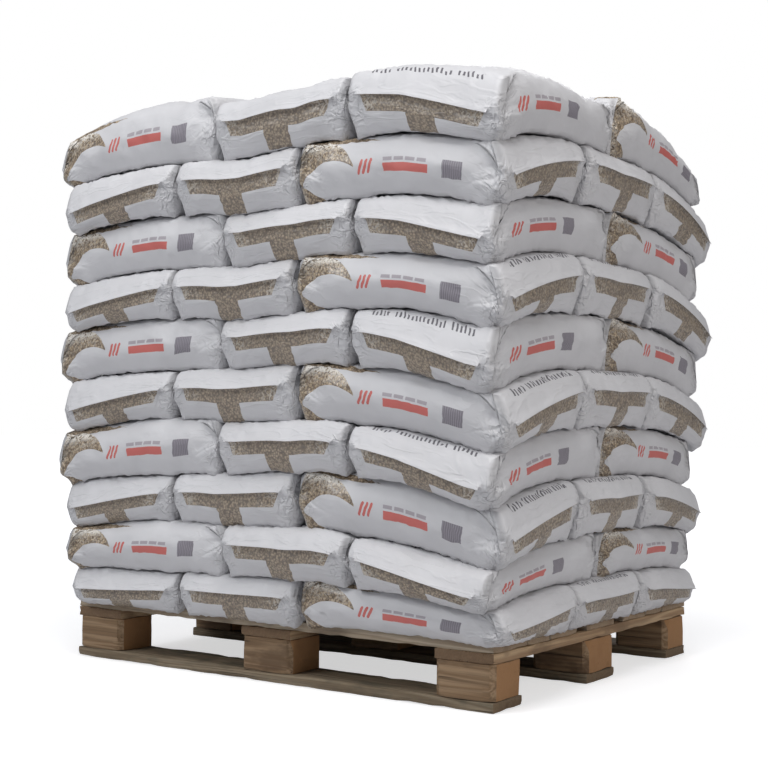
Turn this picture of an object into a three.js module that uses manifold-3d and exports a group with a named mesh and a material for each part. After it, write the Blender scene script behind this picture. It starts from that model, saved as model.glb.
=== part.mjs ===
// A pallet of sacks: seventy plastic bags of wood pellets in ten crossed layers on a timber block pallet.
// Millimetres, +Z up. The origin is on the floor under the middle of the pallet, X runs along its long side.
// The near corner of the load is at +X and -Y.

import * as THREE from 'three';
import * as BufferGeometryUtils from 'three/addons/utils/BufferGeometryUtils.js';
import Module from 'manifold-3d';

const wasm = await Module();
wasm.setup();

// Pallet: 1200 x 1000 x 144, the outer boards and blocks narrower than the ones in the middle.
const PALLET_LENGTH = 1200;
const PALLET_WIDTH = 1000;
const BOARD_THICKNESS = 22;
const BLOCK_HEIGHT = 78;
const BLOCK_LENGTH = 145;
const MIDDLE_ROW_WIDTH = 145;
const OUTER_ROW_WIDTH = 122;
const BLOCK_CHAMFER = 6;

// Deck boards from one long edge to the middle of the pallet: width, then the gap that follows.
const DECK_HALF = [
	{ width: 145, gap: 4 },
	{ width: 96, gap: 6 },
	{ width: 127, gap: 49.5 },
];
const DECK_MIDDLE_WIDTH = 145;

// Filled bag, as it lies in the stack. Neighbours share the pitch and press on each other at mid height.
const SACK_LENGTH = 524;
const SACK_WIDTH = 369;
const SIDE_PRESS = 3;
const FLAT_MARGIN = 50;
const EDGE_ROUNDING = 52;
const END_ROUNDING = 66;

// Height of each layer from the pallet up: the load above has pressed the lower bags flat, and nothing
// presses on the top one, whose bags are crowned.
const LAYER_HEIGHTS = [ 84, 102, 115, 118, 124, 124, 125, 124, 127, 155 ];
const TOP_CROWN = 32;

// How far each layer lies off the pallet's centre, along X and Y.
const LAYER_SHIFTS = [
	[ 16, - 34 ],
	[ 11, - 22 ],
	[ 3, - 24 ],
	[ - 8, - 12 ],
	[ 0, 0 ],
	[ - 12, 12 ],
	[ - 4, 3 ],
	[ - 8, 9 ],
	[ - 2, 4 ],
	[ - 6, 0 ],
];

// How far each layer has spread, along X and Y. The lowest bags lie closer together than the others.
const LAYER_SPREADS = [
	[ 0.966, 0.925 ],
	[ 0.965, 0.975 ],
	[ 0.99, 0.945 ],
	[ 0.997, 0.99 ],
	[ 0.997, 0.995 ],
	[ 1.004, 1.015 ],
	[ 1, 1.01 ],
	[ 0.995, 1.01 ],
	[ 0.996, 1.01 ],
	[ 0.995, 1 ],
];

// The top bags, which nothing presses together, have slid apart: by this much at these places along X.
const SLIDE_PLACES = [ - 634, - 113, 255, 622 ];
const SLIDES = [ - 21, - 35, - 20, 15 ];

// The row of three is wider than the block beside it is long, and their near sides are flush.
const ROW_SHIFT = 15;

// The layers bed on each other in a shallow dome: above its mean height in the middle, with the corners
// of the stack hanging. It is flat on the pallet and grows with each layer.
const BED_RISE = 45;
const BED_FALL_LONG = 7;
const BED_FALL_SHORT = 17;
const CORNER_DROOP = 65;
const FLATTENING = 0.55;
const BED_HALF_LENGTH = 640;
const BED_HALF_WIDTH = 550;
const BED_MARGIN = 1.2;
const BED_STEPS_LONG = 10;
const BED_STEPS_SHORT = 6;
const BED_GAP = 0.3;
const OVERFILL = 8;

// How far each bed above the first lies off that dome on the long near side, at these places along X.
// It fades out to the far side.
const TRIM_PLACES = [ - 530, - 329, - 49, 179, 390, 562 ];
const LONG_SIDE_TRIMS = [
	[ 7, - 4, 3, 7, 4, - 5 ],
	[ 10, 18, 5, 13, - 3, - 18 ],
	[ 13, 4, 7, 23, 21, - 2 ],
	[ 24, 27, 2, 14, 7, - 7 ],
	[ 23, 8, 1, 17, 14, - 3 ],
	[ 29, 17, - 11, 11, 19, 8 ],
	[ 16, 5, - 15, 7, 18, 13 ],
	[ 24, 15, - 18, 1, 17, 12 ],
	[ 21, 7, - 17, 10, 25, 17 ],
];

const boardWood = () => new THREE.MeshStandardMaterial( { color: 0x8f7b66, roughness: 0.85, metalness: 0 } );
const blockWood = () => new THREE.MeshStandardMaterial( { color: 0x8a6444, roughness: 0.9, metalness: 0 } );
const film = () => new THREE.MeshStandardMaterial( { color: 0xd6d8de, roughness: 0.45, metalness: 0 } );

const pallet = new THREE.Group();
const load = new THREE.Group();

// A sawn board, its underside at height z.
function addBoard( name, length, width, x, y, z ) {

	const geometry = new THREE.BoxGeometry( length, width, BOARD_THICKNESS );
	const board = new THREE.Mesh( geometry, boardWood() );
	board.name = name;
	board.position.set( x, y, z + BOARD_THICKNESS / 2 );
	pallet.add( board );

}

// A block between the bottom boards and the stringer boards, its four upright edges planed off.
function addBlock( name, width, x, y ) {

	const halfX = BLOCK_LENGTH / 2;
	const halfY = width / 2;
	const outline = new THREE.Shape( [
		new THREE.Vector2( - halfX + BLOCK_CHAMFER, - halfY ),
		new THREE.Vector2( halfX - BLOCK_CHAMFER, - halfY ),
		new THREE.Vector2( halfX, - halfY + BLOCK_CHAMFER ),
		new THREE.Vector2( halfX, halfY - BLOCK_CHAMFER ),
		new THREE.Vector2( halfX - BLOCK_CHAMFER, halfY ),
		new THREE.Vector2( - halfX + BLOCK_CHAMFER, halfY ),
		new THREE.Vector2( - halfX, halfY - BLOCK_CHAMFER ),
		new THREE.Vector2( - halfX, - halfY + BLOCK_CHAMFER ),
	] );
	const geometry = new THREE.ExtrudeGeometry( outline, { depth: BLOCK_HEIGHT, bevelEnabled: false } );
	const block = new THREE.Mesh( geometry, blockWood() );
	block.name = name;
	block.position.set( x, y, BOARD_THICKNESS );
	pallet.add( block );

}

// Three rows along X, each a bottom board with three blocks on it.
const rowOffset = ( PALLET_WIDTH - OUTER_ROW_WIDTH ) / 2;
const columnOffset = ( PALLET_LENGTH - BLOCK_LENGTH ) / 2;
const rows = [
	{ y: - rowOffset, width: OUTER_ROW_WIDTH },
	{ y: 0, width: MIDDLE_ROW_WIDTH },
	{ y: rowOffset, width: OUTER_ROW_WIDTH },
];
rows.forEach( ( row, rowIndex ) => {

	addBoard( `bottom_board_${rowIndex + 1}`, PALLET_LENGTH, row.width, 0, row.y, 0 );
	for ( let column = 0; column < 3; column ++ ) {

		const blockNumber = rowIndex * 3 + column + 1;
		addBlock( `block_${blockNumber}`, row.width, ( column - 1 ) * columnOffset, row.y );

	}

} );

// Three stringer boards along Y, one on each column of blocks.
const stringerBase = BOARD_THICKNESS + BLOCK_HEIGHT;
for ( let column = 0; column < 3; column ++ ) {

	const x = ( column - 1 ) * columnOffset;
	addBoard( `stringer_board_${column + 1}`, BLOCK_LENGTH, PALLET_WIDTH, x, 0, stringerBase );

}

// Seven deck boards along X, from the near long side to the far one.
const deckBase = stringerBase + BOARD_THICKNESS;
const deckCentres = [];
let edge = - PALLET_WIDTH / 2;
for ( const { width, gap } of DECK_HALF ) {

	deckCentres.push( { y: edge + width / 2, width } );
	edge += width + gap;

}

const farDeckCentres = deckCentres.map( ( { y, width } ) => ( { y: - y, width } ) ).reverse();
const deck = [ ...deckCentres, { y: 0, width: DECK_MIDDLE_WIDTH }, ...farDeckCentres ];
deck.forEach( ( { y, width }, index ) => {

	addBoard( `deck_board_${index + 1}`, PALLET_LENGTH, width, 0, y, deckBase );

} );

// A closed geometry as a solid that can be joined to others.
function toSolid( geometry ) {

	const bare = geometry.clone();
	bare.deleteAttribute( 'normal' );
	bare.deleteAttribute( 'uv' );
	const merged = BufferGeometryUtils.mergeVertices( bare, 1e-3 );
	return new wasm.Manifold( new wasm.Mesh( {
		numProp: 3,
		vertProperties: new Float32Array( merged.attributes.position.array ),
		triVerts: new Uint32Array( merged.index.array ),
	} ) );

}

function toGeometry( solid ) {

	const mesh = solid.getMesh();
	const geometry = new THREE.BufferGeometry();
	geometry.setAttribute( 'position', new THREE.BufferAttribute( new Float32Array( mesh.vertProperties ), 3 ) );
	geometry.setIndex( new THREE.BufferAttribute( new Uint32Array( mesh.triVerts ), 1 ) );
	geometry.computeVertexNormals();
	return geometry;

}

// Mean height of the bed under the layer of this index, and the bed's own height at a point.
function bedLevel( index ) {

	const below = LAYER_HEIGHTS.slice( 0, index );
	return below.reduce( ( sum, height ) => sum + height, deckBase + BOARD_THICKNESS );

}

// The value at x of a line through values given at rising places, level past the first and the last.
function valueAt( x, places, values ) {

	const next = places.findIndex( ( place ) => place > x );
	if ( next === 0 ) return values[ 0 ];
	if ( next < 0 ) return values.at( - 1 );
	const share = ( x - places[ next - 1 ] ) / ( places[ next ] - places[ next - 1 ] );
	return values[ next - 1 ] + share * ( values[ next ] - values[ next - 1 ] );

}

function bedHeight( index, x, y ) {

	const along = ( x / BED_HALF_LENGTH ) ** 2;
	const across = Math.abs( y / BED_HALF_WIDTH ) ** 3;
	const dome = BED_RISE - BED_FALL_LONG * along - BED_FALL_SHORT * across - CORNER_DROOP * along * across;
	const height = bedLevel( index ) + dome * ( 1 - FLATTENING ** index );
	if ( index === 0 ) return height;
	const nearness = Math.min( Math.max( ( BED_HALF_WIDTH - y ) / ( 2 * BED_HALF_WIDTH ), 0 ), 1 );

	// The crowns of the top bags have the trim of the bed under them.
	const trims = LONG_SIDE_TRIMS[ Math.min( index, LONG_SIDE_TRIMS.length ) - 1 ];
	return height + valueAt( x, TRIM_PLACES, trims ) * nearness ** 2;

}

// All the space above a bed, which trims the layer below it and the layer on it to the same facets.
function spaceAbove( index, drop ) {

	const geometry = new THREE.BoxGeometry(
		2 * BED_MARGIN * BED_HALF_LENGTH, 2 * BED_MARGIN * BED_HALF_WIDTH, 2,
		BED_STEPS_LONG, BED_STEPS_SHORT, 1 );
	const position = geometry.attributes.position;
	for ( let i = 0; i < position.count; i ++ ) {

		const z = bedHeight( index, position.getX( i ), position.getY( i ) ) - drop;
		position.setZ( i, position.getZ( i ) < 0 ? z : 2 * bedLevel( LAYER_HEIGHTS.length ) );

	}

	return toSolid( geometry );

}

// One filled bag, centred on the origin in plan, its height told as a share of the layer's: a box whose
// faces are flat in the middle, a little overfull, and whose edges and corners draw in. On the top
// layer the flat of the upper face is smaller and its rim lies lower, which gives the bag its crown.
function sackGeometry( height, crown ) {

	const halfLength = SACK_LENGTH / 2 + SIDE_PRESS;
	const halfWidth = SACK_WIDTH / 2 + SIDE_PRESS;
	const geometry = new THREE.BoxGeometry( 2, 2, 2, 3, 3, 2 );
	const position = geometry.attributes.position;
	for ( let i = 0; i < position.count; i ++ ) {

		const along = position.getX( i );
		const across = position.getY( i );
		const up = position.getZ( i );
		const atEnd = Math.round( Math.abs( along ) ) === 1;
		const atSide = Math.round( Math.abs( across ) ) === 1;
		const atFace = Math.round( Math.abs( up ) ) === 1;
		const rims = Number( atEnd ) + Number( atSide ) + Number( atFace );
		const drawIn = rims > 1 ? 1 - 1 / Math.sqrt( rims ) : 0;
		const crowned = up > 0 ? crown : 0;
		const margin = FLAT_MARGIN + crowned;
		const swell = crowned > 0 ? 0 : OVERFILL;

		const x = atEnd ? halfLength - END_ROUNDING * drawIn : halfLength - margin;
		const y = atSide ? halfWidth - EDGE_ROUNDING * drawIn : halfWidth - margin;
		const rise = rims > 1 ? - EDGE_ROUNDING * drawIn - crowned : swell;
		const z = atFace ? height / 2 + rise : 0;
		position.setX( i, Math.sign( along ) * x );
		position.setY( i, Math.sign( across ) * y );
		position.setZ( i, 0.5 + Math.sign( up ) * z / height );

	}

	return geometry;

}

// Seven bags make a layer: three side by side along X, and beside them a block of two by two along Y.
// Each has its centre relative to the layer's own, and whether it is turned to lie along Y. The layers
// face +X and -X in turn, so that each crosses the joints of the one below.
function layerPlaces( facing ) {

	const layerLength = SACK_LENGTH + 2 * SACK_WIDTH;
	const places = [];
	for ( let i = 0; i < 3; i ++ ) {

		const x = ( layerLength - SACK_LENGTH ) / 2;
		places.push( { x: facing * x, y: ( i - 1 ) * SACK_WIDTH + ROW_SHIFT, turned: false } );

	}

	for ( let i = 0; i < 4; i ++ ) {

		const x = - layerLength / 2 + ( 0.5 + i % 2 ) * SACK_WIDTH;
		const y = ( Math.floor( i / 2 ) - 0.5 ) * SACK_LENGTH - ROW_SHIFT;
		places.push( { x: facing * x, y, turned: true } );

	}

	return places;

}

// Slides a top bag outwards, its near and far parts by different amounts.
function slide( geometry ) {

	const position = geometry.attributes.position;
	for ( let i = 0; i < position.count; i ++ ) {

		const x = position.getX( i );
		position.setX( i, x + valueAt( x, SLIDE_PLACES, SLIDES ) );

	}

}

// Sets a bag down between its two beds.
function layDown( geometry, index ) {

	const position = geometry.attributes.position;
	for ( let i = 0; i < position.count; i ++ ) {

		const x = position.getX( i );
		const y = position.getY( i );
		const below = bedHeight( index, x, y );
		const above = bedHeight( index + 1, x, y );
		position.setZ( i, below + position.getZ( i ) * ( above - below ) );

	}

}

// A layer is one solid: its bags joined where they press on each other at mid height, with the
// grooves between them open above and below.
function addLayer( index ) {

	const isTop = index === LAYER_HEIGHTS.length - 1;
	const facing = index % 2 === 0 ? 1 : - 1;
	const [ shiftX, shiftY ] = LAYER_SHIFTS[ index ];
	const [ spreadX, spreadY ] = LAYER_SPREADS[ index ];
	let solid = null;
	for ( const { x, y, turned } of layerPlaces( facing ) ) {

		const geometry = sackGeometry( LAYER_HEIGHTS[ index ], isTop ? TOP_CROWN : 0 );
		geometry.rotateZ( turned ? Math.PI / 2 : 0 );
		geometry.translate( x, y, 0 );
		geometry.scale( spreadX, spreadY, 1 );
		geometry.translate( shiftX, shiftY, 0 );
		if ( isTop ) slide( geometry );
		layDown( geometry, index );
		const sack = toSolid( geometry );
		solid = solid === null ? sack : solid.add( sack );

	}

	solid = solid.intersect( spaceAbove( index, 0 ) );
	if ( ! isTop ) {

		solid = solid.subtract( spaceAbove( index + 1, BED_GAP ) );

	}

	const layer = new THREE.Mesh( toGeometry( solid ), film() );
	layer.name = `sack_layer_${String( index + 1 ).padStart( 2, '0' )}`;
	load.add( layer );

}

LAYER_HEIGHTS.forEach( ( height, index ) => addLayer( index ) );

const group = new THREE.Group();
group.add( pallet, load );

export default group;
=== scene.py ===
import math

import bpy
import numpy as np
from mathutils import Matrix, Vector
from mathutils.kdtree import KDTree


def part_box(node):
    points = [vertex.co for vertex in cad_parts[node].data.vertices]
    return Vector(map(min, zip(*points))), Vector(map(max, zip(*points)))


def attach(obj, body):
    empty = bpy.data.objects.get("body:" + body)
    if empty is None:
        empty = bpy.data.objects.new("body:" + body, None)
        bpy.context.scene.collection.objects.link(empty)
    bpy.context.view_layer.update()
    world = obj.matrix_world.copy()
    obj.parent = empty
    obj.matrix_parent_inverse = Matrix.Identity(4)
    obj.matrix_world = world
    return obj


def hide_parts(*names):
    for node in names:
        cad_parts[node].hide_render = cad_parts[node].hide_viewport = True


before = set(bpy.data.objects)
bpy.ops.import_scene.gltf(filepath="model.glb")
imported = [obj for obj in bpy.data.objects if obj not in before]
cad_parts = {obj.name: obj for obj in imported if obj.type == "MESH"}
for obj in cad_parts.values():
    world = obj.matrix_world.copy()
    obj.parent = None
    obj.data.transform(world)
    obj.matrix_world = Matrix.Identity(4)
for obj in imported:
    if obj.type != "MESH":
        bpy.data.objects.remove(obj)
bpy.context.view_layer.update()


# The photographer stood off the load's near corner, the camera a little below the middle of the stack.
# Place, turns and focal length were found from the pallet's corners, its blocks and the layers' lines.
CAMERA_PLACE = Vector((2.08775, -3.09591, 0.60093))
CAMERA_YAW = -0.5982
CAMERA_PITCH = 0.0244
CAMERA_ROLL = 0.0131
FOCAL_PIXELS = 1449.73
PHOTO_PIXELS = 768
SENSOR_MM = 36

forward = Vector((
    math.cos(CAMERA_PITCH) * math.sin(CAMERA_YAW),
    math.cos(CAMERA_PITCH) * math.cos(CAMERA_YAW),
    math.sin(CAMERA_PITCH),
))
level = Vector((math.cos(CAMERA_YAW), -math.sin(CAMERA_YAW), 0))
upright = level.cross(forward)
right = math.cos(CAMERA_ROLL) * level + math.sin(CAMERA_ROLL) * upright
up = math.cos(CAMERA_ROLL) * upright - math.sin(CAMERA_ROLL) * level

lens = bpy.data.cameras.new("camera")
lens.sensor_width = SENSOR_MM
lens.lens = FOCAL_PIXELS / PHOTO_PIXELS * SENSOR_MM
camera = bpy.data.objects.new("camera", lens)
camera.matrix_world = Matrix.Translation(CAMERA_PLACE) @ Matrix((right, up, -forward)).transposed().to_4x4()
bpy.context.scene.collection.objects.link(camera)
bpy.context.scene.camera = camera


# Bottom boards: three sawn softwood runners, 22 mm thick, grey and green from lying in yards. Their edges
# are worn round by forks and floors, and the blocks are nailed to them from below.
GRAIN_STEP = 0.030
CROSS_STEP = 0.033
EDGE_WEAR = 0.0022
EDGE_ROUNDING = 0.0022


class Paint:
    """A socket in a material's node tree. Arithmetic on it adds the Math nodes that work it out."""

    def __init__(self, tree, socket=None):
        self.tree = tree
        self.socket = socket

    def node(self, kind, settings=None, sockets=None, output=0):
        made = self.tree.nodes.new("ShaderNode" + kind)
        for name, value in (settings or {}).items():
            setattr(made, name, value)
        for name, value in (sockets or {}).items():
            if isinstance(value, Paint):
                self.tree.links.new(value.socket, made.inputs[name])
            else:
                made.inputs[name].default_value = value
        return Paint(self.tree, made.outputs[output])

    def math(self, operation, *others):
        return self.node("Math", {"operation": operation}, dict(enumerate((self, *others))))

    def __add__(self, other):
        return self.math("ADD", other)

    def __sub__(self, other):
        return self.math("SUBTRACT", other)

    def __mul__(self, other):
        return self.math("MULTIPLY", other)

    def __truediv__(self, other):
        return self.math("DIVIDE", other)

    def __rsub__(self, other):
        return self.node("Math", {"operation": "SUBTRACT"}, {0: other, 1: self})

    def __gt__(self, other):
        return self.math("GREATER_THAN", other)

    def __lt__(self, other):
        return self.math("LESS_THAN", other)

    def __and__(self, other):
        return self.math("MULTIPLY", other)

    def __or__(self, other):
        return self.math("MAXIMUM", other)

    def __abs__(self):
        return self.math("ABSOLUTE")

    __radd__ = __add__
    __rmul__ = __mul__

    def parts(self):
        split = self.node("SeparateXYZ", None, {0: self})
        return [Paint(self.tree, socket) for socket in split.socket.node.outputs]

    def attribute(self, name, output=1):
        return self.node("Attribute", {"attribute_name": name}, None, output)

    def stretch(self, *factors):
        return self.node("VectorMath", {"operation": "MULTIPLY"}, {0: self, 1: factors})

    def noise(self, scale, detail=2.0, roughness=0.5, distortion=0.0):
        sizes = {"Scale": scale, "Detail": detail, "Roughness": roughness, "Distortion": distortion}
        return self.node("TexNoise", None, {"Vector": self, **sizes})

    def ridges(self, scale, detail=2.0, roughness=0.5, distortion=0.0):
        """Thin lines, of value 1, along which a noise crosses its middle value."""
        return 1 - abs(self.noise(scale, detail, roughness, distortion) - 0.5) * 2

    def ease(self, low, high, to_low=0.0, to_high=1.0):
        values = {"Value": self, "From Min": low, "From Max": high, "To Min": to_low, "To Max": to_high}
        return self.node("MapRange", {"interpolation_type": "SMOOTHSTEP"}, values)

    def bell(self):
        """1 where this value is 0, and falling off to both sides."""
        return (self * self * -1).math("EXPONENT")

    def blend(self, below, above):
        """The one colour where this mask is 0, and the other where it is 1."""
        return self.node("Mix", {"data_type": "RGBA"}, {0: self, 6: below, 7: above}, output=2)

    def tint(self, color):
        """The colour times this value."""
        return self.node("VectorMath", {"operation": "SCALE"}, {0: color, 3: self})

    def bump(self, strength, distance):
        """The normal of a surface that has this value as its height."""
        return self.node("Bump", None, {"Strength": strength, "Distance": distance, "Height": self})


def tone(red, green, blue):
    """A colour as an eye reads it off a screen, from 0 to 255, as the linear colour that a shader takes."""
    shares = [value / 255 for value in (red, green, blue)]
    linear = [((s + 0.055) / 1.055) ** 2.4 if s > 0.04045 else s / 12.92 for s in shares]
    return (*linear, 1.0)


def blank_material(name):
    material = bpy.data.materials.new(name)
    material.use_nodes = True
    tree = material.node_tree
    shader = tree.nodes["Principled BSDF"]
    return material, Paint(tree), shader


def connect(shader, paints):
    """Links painted values to the shader's sockets of these names."""
    for name, paint in paints.items():
        paint.tree.links.new(paint.socket, shader.inputs[name])


def timber(name, early, late, dirt, dirt_share, end_axis, end_grain, end_share):
    """Sawn, weathered softwood. The grain runs along the first axis of the piece's own grain attribute."""
    material, paint, shader = blank_material(name)
    place = paint.attribute("grain")
    normal = paint.node("NewGeometry", output=1)
    toward_end = normal.node("VectorMath", {"operation": "DOT_PRODUCT"}, {0: normal, 1: end_axis}, output=1)
    facing_end = abs(toward_end) > 0.8

    waver = place.stretch(1.2, 9, 9).noise(1.0, 3)
    fibres = place.stretch(4, 260, 260).noise(1.0, 5, 0.65)
    rings = place.stretch(0.9, 22, 22).noise(1.3, 1, 0.4, 0.5) * 6 + waver * 1.5
    ring_lines = abs(rings.math("FRACT") - 0.5) * 2
    ring_tone = ring_lines * (1 - facing_end * 0.6)

    cells = place.stretch(4.5, 11, 11)
    knot_gap = cells.node("TexVoronoi", None, {"Vector": cells, "Scale": 1.0, "Randomness": 0.9})
    knots = 1 - knot_gap.ease(0.05, 0.13)
    cracks = place.stretch(2.2, 130, 130).noise(1.0, 2, 0.5).ease(0.66, 0.72)
    stains = place.stretch(5, 14, 14).noise(1.0, 4, 0.6)
    grime = stains.ease(0.62 - dirt_share, 0.72 - dirt_share * 0.6)

    color = ring_tone.ease(0.05, 0.9).blend(late, early)
    color = fibres.ease(0.3, 0.7, 0.72, 1.12).tint(color)
    dark = (*(value * 0.25 for value in late[:3]), 1.0)
    color = (knots * 0.75).blend(color, dark)
    color = (grime * 0.7).blend(color, dirt)
    color = (cracks * 0.8).blend(color, dark)
    color = (facing_end * end_share).blend(color, end_grain)

    relief = fibres * 0.6 + ring_tone * 0.3 - cracks * 1.5 - knots * 0.4
    roughness = fibres.ease(0.2, 0.8, 0.78, 0.95)
    connect(shader, {"Base Color": color, "Roughness": roughness, "Normal": relief.bump(0.55, 0.0012)})
    return material


def deselect_all():
    for thing in bpy.context.selected_objects:
        thing.select_set(False)


def points_of(thing):
    return np.array([vertex.co for vertex in thing.data.vertices])


def store(thing, name, values):
    """Keeps a number or a vector for each point of an object, for its material to read."""
    kind, field = ("FLOAT_VECTOR", "vector") if values.ndim == 2 else ("FLOAT", "value")
    attribute = thing.data.attributes.new(name, kind, "POINT")
    attribute.data.foreach_set(field, values.astype(np.float32).ravel())


def clear_selection(mesh):
    for parts in (mesh.polygons, mesh.vertices):
        parts.foreach_set("select", [False] * len(parts))


def cut_along(axis, places):
    """Cuts the mesh that is being edited across an axis, at each of these places along it."""
    normal = [0.0, 0.0, 0.0]
    normal[axis] = 1.0
    for place in places:
        bpy.ops.mesh.select_all(action="SELECT")
        bpy.ops.mesh.bisect(plane_co=[share * place for share in normal], plane_no=normal)


def sawn_piece(name, node, grain_axis, seed, corner_cut=0.0):
    """A piece of timber in a node's box: a block or board with worn edges, its grain along one axis."""
    low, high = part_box(node)
    size = high - low
    deselect_all()
    bpy.ops.mesh.primitive_cube_add(size=1, location=(low + high) / 2, scale=size)
    piece = bpy.context.object
    piece.name = piece.data.name = name
    bpy.ops.object.transform_apply(location=True, scale=True)
    if corner_cut:
        bpy.context.tool_settings.mesh_select_mode = (False, True, False)
        clear_selection(piece.data)
        for edge in piece.data.edges:
            first, second = (piece.data.vertices[i].co for i in edge.vertices)
            edge.select = abs(first.z - second.z) > 0.001
        bpy.ops.object.mode_set(mode="EDIT")
        bpy.ops.mesh.bevel(offset=corner_cut, segments=1)
        bpy.ops.object.mode_set(mode="OBJECT")

    bpy.ops.object.mode_set(mode="EDIT")
    bpy.ops.mesh.select_mode(type="VERT")
    for axis in range(3):
        steps = max(2, round(size[axis] / (GRAIN_STEP if axis == grain_axis else CROSS_STEP)))
        cut_along(axis, [low[axis] + size[axis] * step / steps for step in range(1, steps)])
    bpy.ops.object.mode_set(mode="OBJECT")

    # Wear takes the arrises off, more at some spots than at others, and never adds to the piece. A point on
    # an arris or a corner lies inside the box along one axis at most.
    dice = np.random.default_rng(seed)
    points = points_of(piece)
    axes_inside = (np.abs((points - np.array(low)) / np.array(size) - 0.5) < 0.499).sum(1)
    bite = dice.uniform(0.0, 1.0, len(points)) ** 3 * EDGE_WEAR * np.where(axes_inside < 2, 1.0, 0.25)
    centre = np.array((low + high) / 2)
    points -= np.sign(points - centre) * np.minimum(bite[:, None], np.array(size) * 0.1)
    piece.data.vertices.foreach_set("co", points.ravel())
    bevel = piece.modifiers.new("worn edges", "BEVEL")
    bevel.width = EDGE_ROUNDING
    bevel.segments = 2
    bevel.limit_method = "ANGLE"
    bevel.angle_limit = math.radians(50)
    bpy.ops.object.modifier_apply(modifier=bevel.name)
    bpy.ops.object.shade_smooth_by_angle(angle=math.radians(35))

    order = [grain_axis, *[axis for axis in range(3) if axis != grain_axis]]
    store(piece, "grain", (points_of(piece) - centre)[:, order] + dice.uniform(-9, 9, 3))
    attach(piece, "root")
    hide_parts(node)
    return piece


floor_timber = timber(
    "floor_timber", tone(149, 134, 112), tone(125, 109, 88), tone(82, 78, 64), 0.14,
    (1, 0, 0), tone(116, 92, 66), 0.5)
for number in range(1, 4):
    board = sawn_piece(f"runner_{number}", f"bottom_board_{number}", 0, 100 + number)
    board.data.materials.append(floor_timber)


# Blocks: nine sawn cubes of wood, three on each bottom board, their upright edges planed off. The grain
# runs along the pallet, so the short side shows the redder end grain.
block_timber = timber(
    "block_timber", tone(163, 136, 106), tone(137, 110, 82), tone(96, 74, 54), 0.10,
    (1, 0, 0), tone(172, 127, 84), 0.75)
for number in range(1, 10):
    block = sawn_piece(f"block_sawn_{number}", f"block_{number}", 0, 200 + number, corner_cut=0.012)
    block.data.materials.append(block_timber)


# Stringer boards: three boards across the pallet on the rows of blocks, nailed down through the deck.
# They are the palest boards, since the deck covers them.
cross_timber = timber(
    "cross_timber", tone(190, 162, 128), tone(160, 130, 99), tone(122, 98, 74), 0.06,
    (0, 1, 0), tone(104, 82, 62), 0.7)
for number in range(1, 4):
    board = sawn_piece(f"stringer_{number}", f"stringer_board_{number}", 1, 300 + number)
    board.data.materials.append(cross_timber)


# Deck boards: seven boards along the pallet, wide ones at the edges and the middle, with the load on them.
# Only their outer edges and ends are seen under the bags.
deck_timber = timber(
    "deck_timber", tone(182, 167, 146), tone(156, 139, 118), tone(114, 100, 84), 0.08,
    (1, 0, 0), tone(152, 122, 90), 0.4)
for number in range(1, 8):
    board = sawn_piece(f"deck_{number}", f"deck_board_{number}", 0, 400 + number)
    board.data.materials.append(deck_timber)


# Nails: flat heads driven flush, two where a deck board crosses a stringer, and three under each block.
# Their steel is dull and has spots of rust.
NAIL_RADIUS = 0.0045
NAIL_HEAD = 0.0014
NAIL_PROUD = 0.0004
NAIL_RIM = 0.0004
DECK_NAIL_SPREAD = 0.033
DECK_NAIL_SHARE = 0.27
BASE_NAILS = ((-0.035, -0.03), (0.035, -0.03), (0, 0.035))


def nail_heads(name, places, heights, outward):
    """The heads of one set of nails, as one piece. The first is made, and the rest are its copies."""
    deselect_all()
    bpy.ops.mesh.primitive_cylinder_add(vertices=12, radius=NAIL_RADIUS, depth=NAIL_HEAD)
    head = bpy.context.object
    bevel = head.modifiers.new("rim", "BEVEL")
    bevel.width = NAIL_RIM
    bevel.limit_method = "ANGLE"
    bpy.ops.object.modifier_apply(modifier=bevel.name)
    heads = []
    for (x, y), height in zip(places, heights):
        copy = head.copy()
        copy.data = head.data.copy()
        middle = height + outward * (NAIL_PROUD - NAIL_HEAD / 2)
        copy.data.transform(Matrix.Translation((x, y, middle)))
        bpy.context.scene.collection.objects.link(copy)
        heads.append(copy)
    bpy.data.objects.remove(head)
    for copy in heads:
        copy.select_set(True)
    bpy.context.view_layer.objects.active = heads[0]
    bpy.ops.object.join()
    nails = heads[0]
    nails.name = nails.data.name = name
    nails.data.materials.append(nail_steel)
    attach(nails, "root")
    return nails


nail_steel, paint, shader = blank_material("nail_steel")
place = paint.node("TexCoord", output=3)
rust = place.noise(400, 4).ease(0.4, 0.65)
steel_color = rust.blend(tone(120, 116, 110), tone(92, 62, 44))
connect(shader, {"Base Color": steel_color, "Roughness": rust.ease(0, 1, 0.4, 0.8)})
shader.inputs["Metallic"].default_value = 0.8

columns = [sum(corner.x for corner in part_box(f"stringer_board_{i}")) / 2 for i in range(1, 4)]
deck_places, deck_tops = [], []
for number in range(1, 8):
    low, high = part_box(f"deck_board_{number}")
    for column in columns:
        for side in (-1, 1):
            y = (low.y + high.y) / 2 + side * (high.y - low.y) * DECK_NAIL_SHARE
            deck_places.append((column + side * DECK_NAIL_SPREAD, y))
            deck_tops.append(high.z)
nail_heads("deck_nails", deck_places, deck_tops, 1)

base_places = []
for number in range(1, 10):
    low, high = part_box(f"block_{number}")
    middle = (low + high) / 2
    base_places += [(middle.x + x, middle.y + y) for x, y in BASE_NAILS]
nail_heads("base_nails", base_places, [0.0] * len(base_places), -1)


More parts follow.
